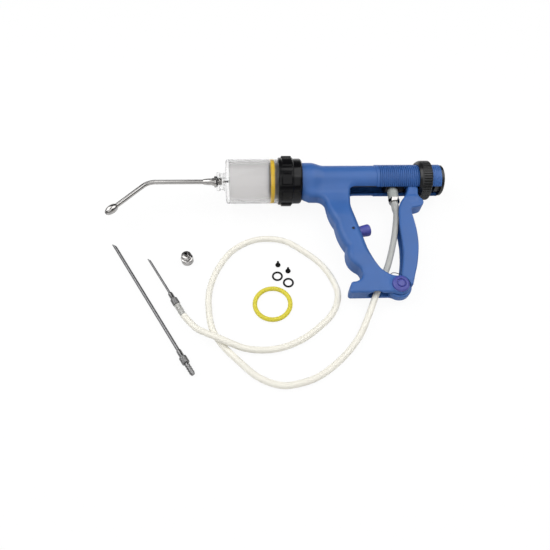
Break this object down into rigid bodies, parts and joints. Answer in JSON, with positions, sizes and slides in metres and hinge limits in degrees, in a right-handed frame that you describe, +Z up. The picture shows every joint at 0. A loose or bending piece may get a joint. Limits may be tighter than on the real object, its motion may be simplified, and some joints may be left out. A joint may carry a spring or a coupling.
{
  "type": "livestock drencher",
  "caption": "Lever-worked drenching gun with a clear dosing barrel, bent nozzle, knurled dose ring, feed hose with draw-off needle, and loose spares.",
  "frame": {"origin": "middle of the laid-out kit's outline on the table, without the free hose and the needle on it", "axes": "+Z up from the table that the gun lies on; +X along the barrel away from the nozzle; +Y towards the gun's top"},
  "size_m": [0.3652, 0.2562, 0.055],
  "materials": {
    "blue_body": "satin",
    "clear_barrel": "gloss",
    "black_gloss": "gloss",
    "black_matte": "satin",
    "purple": "satin",
    "valve_rubber": "matte",
    "seal_rubber": "matte",
    "yellow_seal": "satin",
    "chrome_metal": "polished",
    "needle_steel": "brushed",
    "hub_metal": "brushed",
    "hose_pvc": "satin"
  },
  "bodies": {
    "housing": {"housing": "blue_body", "barrel": "clear_barrel", "union_nut": "black_gloss", "outlet_valve": "valve_rubber", "nozzle_hub": "chrome_metal", "nozzle_seal": "seal_rubber", "nozzle_tube": "chrome_metal", "nozzle_tip": "chrome_metal", "end_cap": "black_matte", "pivot_pin": "needle_steel", "pivot_knob": "purple", "stop_button": "purple", "stop_pin": "needle_steel", "hose_run": "hose_pvc", "spike_hub": "hub_metal", "spike_needle": "needle_steel"},
    "plunger": {"piston": "black_matte", "piston_ring": "yellow_seal", "inlet_valve": "valve_rubber", "plunger_rod": "needle_steel", "carriage": "black_matte", "inlet_stem": "chrome_metal", "inlet_nut": "chrome_metal", "inlet_seal": "seal_rubber", "hose_ferrule": "chrome_metal", "hose_riser": "hose_pvc"},
    "lever": {"lever": "blue_body", "return_spring": "needle_steel"},
    "dose_nut": {"dose_nut": "black_matte"},
    "dose_ring": {"dose_ring": "black_matte"},
    "nozzle_adaptor": {"nozzle_adaptor": "chrome_metal"},
    "long_needle": {"long_hub": "hub_metal", "long_needle": "needle_steel"},
    "spare_ring": {"spare_ring": "yellow_seal"},
    "spare_seal_a": {"spare_seal_a": "seal_rubber"},
    "spare_seal_b": {"spare_seal_b": "seal_rubber"},
    "spare_valve_a": {"spare_valve_a": "valve_rubber"},
    "spare_valve_b": {"spare_valve_b": "valve_rubber"}
  },
  "joints": [
    {"name": "lever_squeeze", "type": "hinge", "parent": "housing", "child": "lever", "pos_m": [0.11375, -0.04109, 0.01199], "axis": [0.0376, -0.0864, 0.9955], "range_deg": [0, 18.07], "stiffness_Nm_per_rad": 0.6, "springref_deg": -20.05, "deforming": ["return_spring"]},
    {"name": "plunger_stroke", "type": "slide", "parent": "housing", "child": "plunger", "axis": [-0.9993, 0, 0.0377], "range_m": [0, 0.0425], "deforming": ["hose_riser"]},
    {"name": "dose_travel", "type": "slide", "parent": "housing", "child": "dose_nut", "axis": [0.9993, 0, -0.0377], "range_m": [0, 0.0089]},
    {"name": "dose_turn", "type": "hinge", "parent": "dose_nut", "child": "dose_ring", "pos_m": [0.15316, 0.09182, 0.02204], "axis": [0.9993, 0, -0.0377], "range_deg": [0, 1440]},
    {"name": "nozzle_adaptor_lift", "type": "slide", "parent": "housing", "child": "nozzle_adaptor", "axis": [0, 0, 1], "range_m": [0, 0.06]},
    {"name": "long_needle_lift", "type": "slide", "parent": "housing", "child": "long_needle", "axis": [0, 0, 1], "range_m": [0, 0.06]},
    {"name": "spare_ring_lift", "type": "slide", "parent": "housing", "child": "spare_ring", "axis": [0, 0, 1], "range_m": [0, 0.06]},
    {"name": "spare_seal_a_lift", "type": "slide", "parent": "housing", "child": "spare_seal_a", "axis": [0, 0, 1], "range_m": [0, 0.06]},
    {"name": "spare_seal_b_lift", "type": "slide", "parent": "housing", "child": "spare_seal_b", "axis": [0, 0, 1], "range_m": [0, 0.06]},
    {"name": "spare_valve_a_lift", "type": "slide", "parent": "housing", "child": "spare_valve_a", "axis": [0, 0, 1], "range_m": [0, 0.06]},
    {"name": "spare_valve_b_lift", "type": "slide", "parent": "housing", "child": "spare_valve_b", "axis": [0, 0, 1], "range_m": [0, 0.06]}
  ],
  "couplings": [
    {"joint": "plunger_stroke", "follows": "lever_squeeze", "m_per_rad": 0.13243},
    {"joint": "dose_travel", "follows": "dose_turn", "m_per_rad": 0.00035014}
  ]
}
